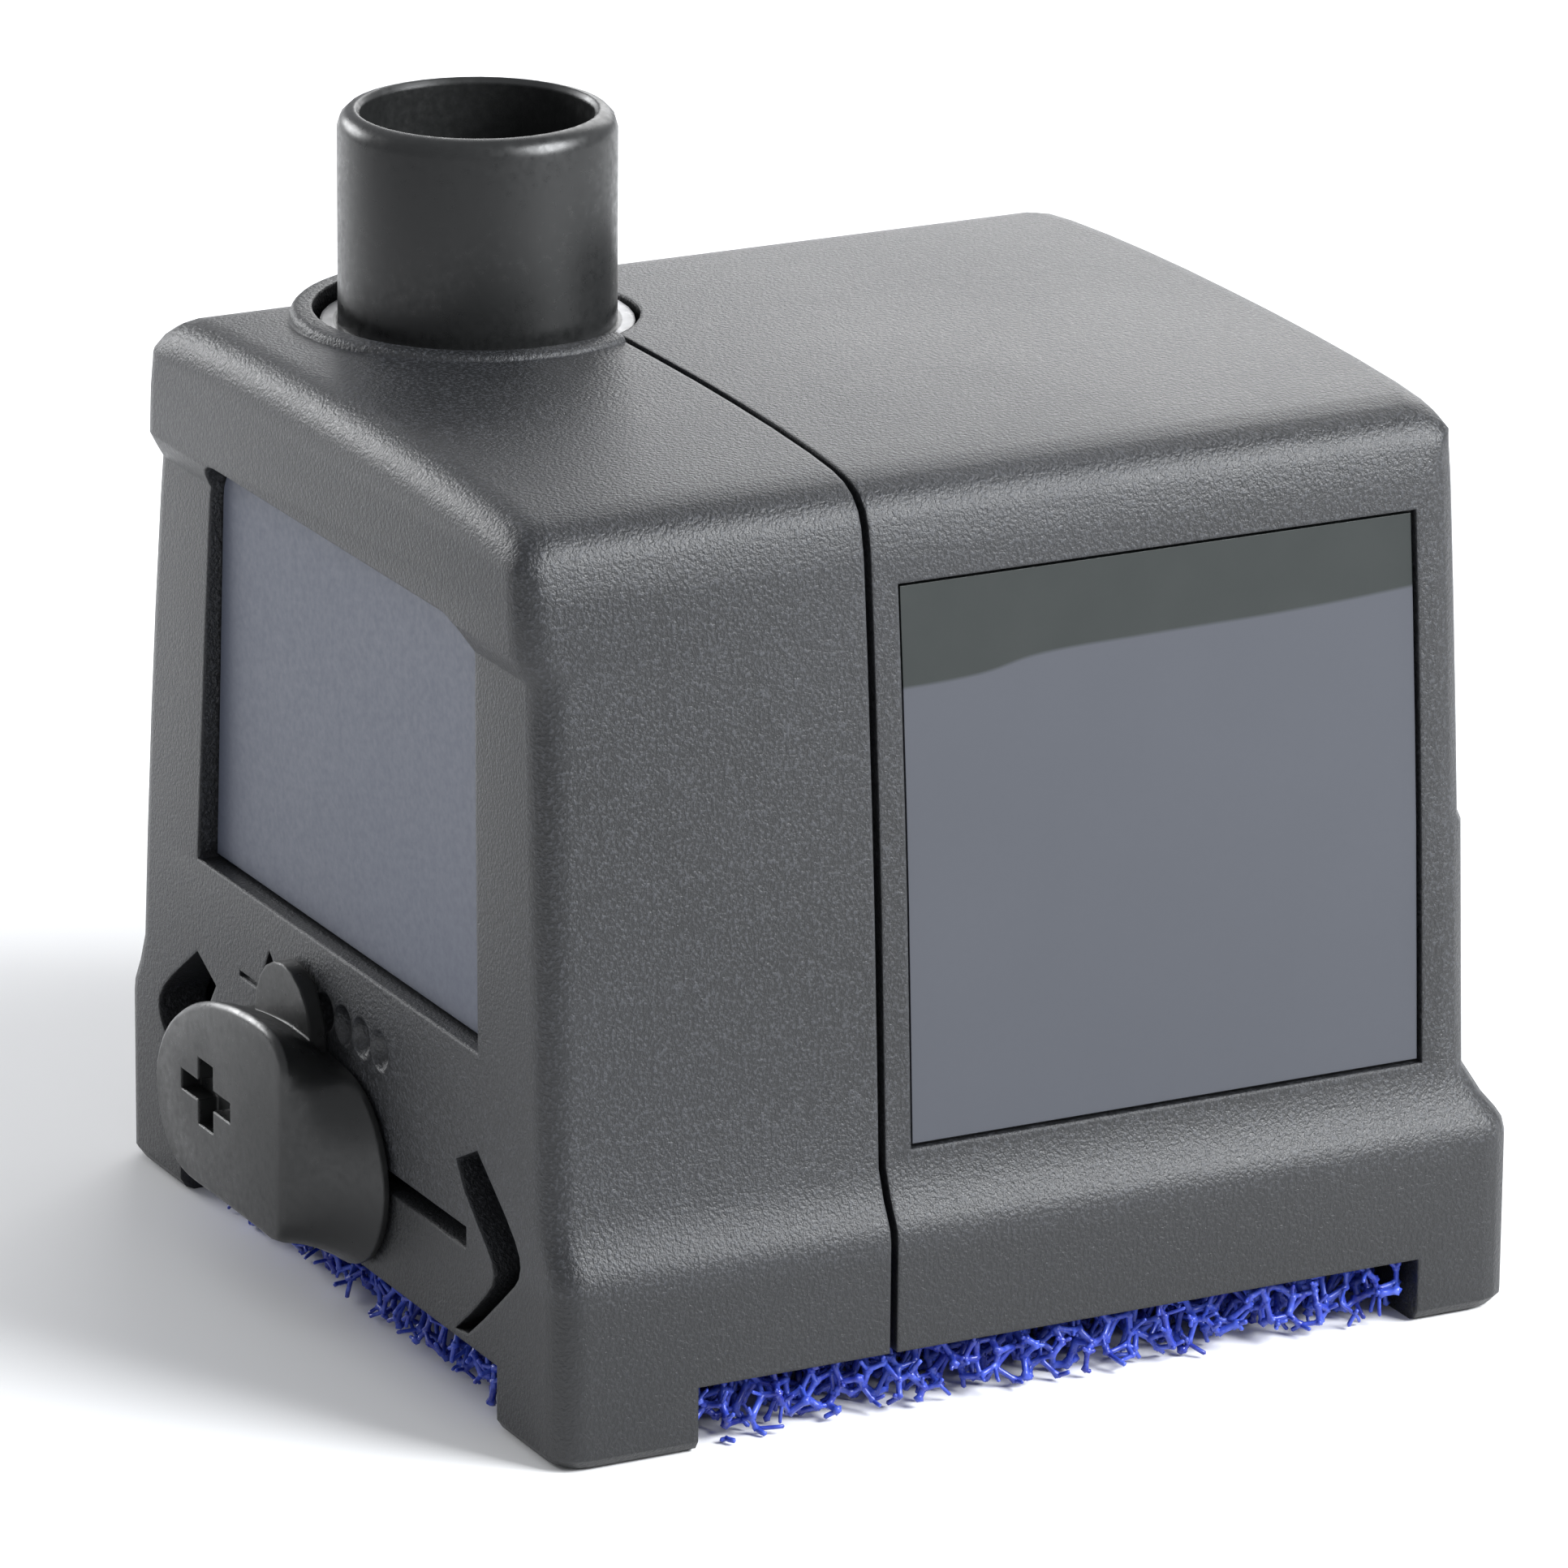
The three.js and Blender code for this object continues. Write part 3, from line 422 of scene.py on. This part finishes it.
def struts(name, P, E, sides, rings, r_mid, r_end, material):
    """Each edge becomes one closed, waisted strand, so strands merge where they meet."""
    A, B = P[E[:, 0]], P[E[:, 1]]
    D = B - A
    L = np.linalg.norm(D, axis=1, keepdims=True)
    D = D / L
    ref = np.where(np.abs(D[:, 2:3]) < 0.8, np.array([[0, 0, 1.0]]), np.array([[1.0, 0, 0]]))
    U = np.cross(D, ref)
    U /= np.linalg.norm(U, axis=1, keepdims=True)
    W = np.cross(D, U)
    n = len(E)
    tw = rng.uniform(0, 6.28, (n, 1))
    fat = rng.uniform(0.8, 1.25, (n, 1))
    verts = [A - D * r_end[:, None] * 0.7]
    for t in rings:
        k = abs(2 * t - 1) ** 1.6
        r = (r_mid * (1 - k) + r_end[:, None] * k) * fat
        bow = np.sin(t * math.pi) * 0.05
        c = A + (B - A) * t + U * bow
        for s in range(sides):
            a = tw + 2 * math.pi * s / sides
            verts.append(c + (U * np.cos(a) + W * np.sin(a)) * r)
    verts.append(B + D * r_end[:, None] * 0.7)
    K = len(verts)
    V = np.stack(verts, 1).reshape(-1, 3)
    V[:, 2] = np.maximum(V[:, 2], 0.06)
    V[:, 1] -= Y_MID
    tris, quads = [], []
    for s in range(sides):
        s2 = (s + 1) % sides
        tris.append((0, 1 + s2, 1 + s))
        last = 1 + (len(rings) - 1) * sides
        tris.append((K - 1, last + s, last + s2))
        for q in range(len(rings) - 1):
            a, b = 1 + q * sides, 1 + (q + 1) * sides
            quads.append((a + s, a + s2, b + s2, b + s))
    base = np.arange(n)[:, None, None] * K
    T = (np.array(tris)[None] + base).reshape(-1, 3)
    Q = (np.array(quads)[None] + base).reshape(-1, 4)
    me = bpy.data.meshes.new(name)
    me.vertices.add(len(V))
    me.vertices.foreach_set("co", (V * MM).astype(np.float32).ravel())
    loops = np.concatenate([T.ravel(), Q.ravel()])
    me.loops.add(len(loops))
    me.loops.foreach_set("vertex_index", loops.astype(np.int32))
    starts = np.concatenate([np.arange(len(T)) * 3, len(T) * 3 + np.arange(len(Q)) * 4])
    me.polygons.add(len(starts))
    me.polygons.foreach_set("loop_start", starts.astype(np.int32))
    me.polygons.foreach_set("use_smooth", np.ones(len(starts), bool))
    me.update(calc_edges=True)
    me.validate()
    me.materials.append(material)
    o = bpy.data.objects.new(name, me)
    scene.collection.objects.link(o)
    return o


def foam_material():
    t = Tree("blue_foam")
    a = t.noise(420.0, 3.0, 0.6)
    b = t.noise(1600.0, 2.0, 0.5)
    col = t.mix(t.remap(a, 0.35, 0.65, 0, 1), (0.016, 0.026, 0.27), (0.045, 0.085, 0.50))
    col = t.mix(t.math("MULTIPLY", t.remap(b, 0.55, 0.7, 0, 1), 0.5), col, (0.11, 0.17, 0.66))
    t.set("Base Color", col)
    t.set("Roughness", t.remap(b, 0.3, 0.7, 0.22, 0.42))
    t.set("Normal", t.bump(b, 0.4, 0.00004))
    return t.mat


def foam_core_shade_material():
    t = Tree("foam_depth_shade")
    v = t.voronoi(380.0)
    a = t.noise(700.0, 3.0, 0.6)
    # dark purple, cell-patterned colour: painted shade of the foam's inside
    col = t.mix(t.remap(v, 0.15, 0.75, 0, 1), (0.030, 0.045, 0.32), (0.012, 0.007, 0.055))
    col = t.mix(t.math("MULTIPLY", t.remap(a, 0.5, 0.7, 0, 1), 0.4), col, (0.035, 0.055, 0.38))
    t.set("Base Color", col)
    t.set("Roughness", t.remap(a, 0.3, 0.7, 0.75, 0.95))
    t.set("Normal", t.bump(v, 0.8, 0.0006))
    return t.mat


FOAM, CORE_SHADE = foam_material(), foam_core_shade_material()
P, E = kelvin(3.15, np.array([0.95, 0.95, 1.22]))


def clipped(P, E, ragged):
    """Keeps edges inside the pad and cuts those that cross its surface a little outside it."""
    inside = in_foam(P)
    both = inside[E[:, 0]] & inside[E[:, 1]]
    one = inside[E[:, 0]] ^ inside[E[:, 1]]
    C = E[one]
    swap = ~inside[C[:, 0]]
    C[swap] = C[swap][:, ::-1]
    A, B = P[C[:, 0]], P[C[:, 1]]
    lo, hi = np.zeros(len(C)), np.ones(len(C))
    for _ in range(12):
        t = (lo + hi) / 2
        ok = in_foam(A + (B - A) * t[:, None])
        lo, hi = np.where(ok, t, lo), np.where(ok, hi, t)
    L = np.linalg.norm(B - A, axis=1)
    t = lo + rng.uniform(-0.25, ragged, len(C)) / L
    cut = A + (B - A) * t[:, None]
    keep = (t > 0.25) & (cut[:, 2] > 0.25) & (cut[:, 2] < 4.95)
    near = np.abs(cut[:, 0]) > FOOT_X - 0.1
    foot = near & ((cut[:, 1] < FOOT_Y0) | (cut[:, 1] > FOOT_Y1))
    keep &= ~foot
    C, cut = C[keep], cut[keep]
    P2 = np.concatenate([P, cut])
    E2 = np.concatenate([E[both], np.stack([C[:, 0], len(P) + np.arange(len(C))], 1)])
    tip = np.concatenate([np.zeros(both.sum(), bool), np.ones(len(C), bool)])
    return P2, E2, tip


P, E, TIP = clipped(P, E, 0.9)
mid = (P[E[:, 0]] + P[E[:, 1]]) / 2
depth = edge_depth(mid)
rim = depth < 4.6
under = (depth >= 4.6) & (mid[:, 2] < 3.2)
foam_rim = struts("foam_strands_rim", P, E[rim], 5, (0.0, 0.25, 0.75, 1.0), 0.17,
                  np.where(TIP[rim], 0.16, 0.36), FOAM)
foam_under = struts("foam_strands_underside", P, E[under], 4, (0.12, 0.88), 0.24,
                    np.where(TIP[under], 0.22, 0.28), FOAM)


def foam_core():
    """A lumpy dark block set back from every open side, painted shade for the pad's shaded
    inside.
    """
    import bmesh
    bm = bmesh.new()

    def block(x0, x1, y0, y1, z0, z1, step):
        r = bmesh.ops.create_cube(bm, size=1.0)
        for v in r["verts"]:
            v.co = Vector((x0 + (v.co.x + 0.5) * (x1 - x0), y0 + (v.co.y + 0.5) * (y1 - y0),
                           z0 + (v.co.z + 0.5) * (z1 - z0)))
    block(-34.4, 34.4, 11.2, 68.2, 3.3, 11.4, 2)
    me = bpy.data.meshes.new("foam_core")
    bm.to_mesh(me)
    bm.free()
    o = bpy.data.objects.new("foam_core", me)
    scene.collection.objects.link(o)
    bm2 = bmesh.new()
    r = bmesh.ops.create_cube(bm2, size=1.0)
    for v in r["verts"]:
        v.co = Vector(((v.co.x) * 2 * 26.2, 5.9 + (v.co.y + 0.5) * 68.4,
                       3.3 + (v.co.z + 0.5) * 8.1))
    me2 = bpy.data.meshes.new("foam_core_mid")
    bm2.to_mesh(me2)
    bm2.free()
    o2 = bpy.data.objects.new("foam_core_mid", me2)
    scene.collection.objects.link(o2)
    mod = o.modifiers.new("join", "BOOLEAN")
    mod.operation = "UNION"
    mod.object = o2
    mod.solver = "EXACT"
    rem = o.modifiers.new("remesh", "REMESH")
    rem.mode = "VOXEL"
    for me_ in (me, me2):
        for v in me_.vertices:
            v.co = Vector((v.co.x, v.co.y - Y_MID, v.co.z)) * MM
    rem.voxel_size = 0.00075
    dg = bpy.context.evaluated_depsgraph_get()
    out = bpy.data.meshes.new_from_object(o.evaluated_get(dg))
    o.modifiers.clear()
    o.data = out
    bpy.data.objects.remove(o2)
    co = np.zeros(len(out.vertices) * 3)
    out.vertices.foreach_get("co", co)
    co = co.reshape(-1, 3)
    nr = np.zeros(len(out.vertices) * 3)
    out.vertices.foreach_get("normal", nr)
    nr = nr.reshape(-1, 3)
    w = np.abs(np.sin(co[:, 0] * 1900 + 1.3 * np.sin(co[:, 1] * 1500))
               * np.sin(co[:, 1] * 1750 + 1.1 * np.sin(co[:, 2] * 1600))
               * np.sin(co[:, 2] * 1650 + 0.9 + co[:, 0] * 600))
    co -= nr * (0.0003 + 0.0022 * w[:, None] * (co[:, 2:3] < 0.0052))
    out.vertices.foreach_set("co", co.ravel())
    out.materials.clear()
    out.materials.append(CORE_SHADE)
    for p in out.polygons:
        p.use_smooth = True
    out.update()
    return o


core = foam_core()
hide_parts("foam_filter_block")
for o in (core, foam_rim, foam_under):
    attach(o, "foam_filter")

# ------------------------------------------------------------------ floor and light
fm = bpy.data.meshes.new("floor")
fm.from_pydata([(-3, -3, 0), (3, -3, 0), (3, 3, 0), (-3, 3, 0)], [], [(0, 1, 2, 3)])
floor = bpy.data.objects.new("floor", fm)
scene.collection.objects.link(floor)
ft = Tree("pale_floor")
ft.set("Base Color", ft.mix(ft.noise(3.0, 2.0), (0.84, 0.84, 0.845), (0.88, 0.88, 0.88)))
ft.set("Roughness", 0.7)
ft.set("Specular IOR Level", 0.2)
fm.materials.append(ft.mat)

world = bpy.data.worlds.new("studio")
scene.world = world
world.use_nodes = True
world.node_tree.nodes["Background"].inputs["Color"].default_value = (0.94, 0.96, 1.0, 1)
world.node_tree.nodes["Background"].inputs["Strength"].default_value = 0.52


def area(name, where, size, power, color=(1, 1, 1), at=(0, 0, 0.035), size_y=None):
    d = bpy.data.lights.new(name, "AREA")
    d.energy = power
    d.color = color
    d.shape = "RECTANGLE"
    d.size = size
    d.size_y = size_y or size
    o = bpy.data.objects.new(name, d)
    o.location = where
    o.rotation_euler = (Vector(at) - Vector(where)).to_track_quat("-Z", "Y").to_euler()
    scene.collection.objects.link(o)
    return o


area("key_right_back", (0.62, 0.55, 0.62), 0.50, 21.0, (0.96, 0.98, 1.0))
area("strip_left", (-1.05, -0.42, 0.40), 0.55, 8.0, (0.98, 0.99, 1.0), size_y=0.30)
area("back_wall", (-0.9, 0.75, 0.55), 0.8, 6.0, (1, 1, 1))

scene.view_settings.view_transform = "Standard"
scene.view_settings.look = "None"
scene.view_settings.exposure = 0.0
scene.view_settings.gamma = 1.0
